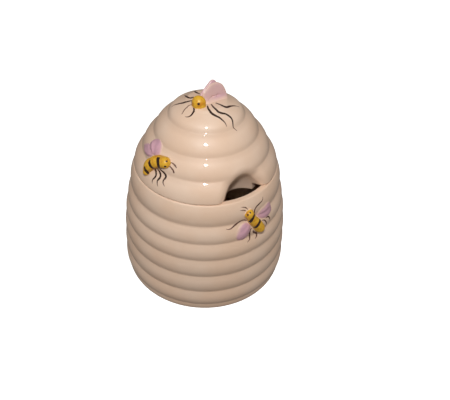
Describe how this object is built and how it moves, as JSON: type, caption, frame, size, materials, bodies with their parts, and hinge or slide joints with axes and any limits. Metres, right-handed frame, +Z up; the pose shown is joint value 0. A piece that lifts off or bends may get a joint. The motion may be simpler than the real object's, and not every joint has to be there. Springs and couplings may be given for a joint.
{
  "type": "honey pot with lift-off lid",
  "caption": "Ringed beehive-shaped ceramic honey pot with a lift-off lid, a dipper notch in the lid, a bee as its knob and bees on its side.",
  "frame": {"origin": "centre of the foot ring, on the surface the pot stands on", "axes": "+Z up along the pot's axis, -Y out of the middle of the dipper notch, +X to the right of someone facing the notch"},
  "size_m": [0.1038, 0.1038, 0.1287],
  "materials": {
    "body_glaze": "gloss",
    "bee_glaze": "gloss",
    "wing_glaze": "gloss"
  },
  "bodies": {
    "pot": {"pot_shell": "body_glaze", "pot_bee_body": "bee_glaze", "pot_bee_left_wing": "wing_glaze", "pot_bee_right_wing": "wing_glaze"},
    "lid": {"lid_shell": "body_glaze", "knob_bee_body": "bee_glaze", "knob_bee_near_wing": "wing_glaze", "knob_bee_far_wing": "wing_glaze", "lid_bee_body": "bee_glaze", "lid_bee_front_wing": "wing_glaze", "lid_bee_rear_wing": "wing_glaze"}
  },
  "joints": [
    {"name": "lid_lift", "type": "slide", "parent": "pot", "child": "lid", "axis": [0, 0, 1], "range_m": [0, 0.06]}
  ]
}
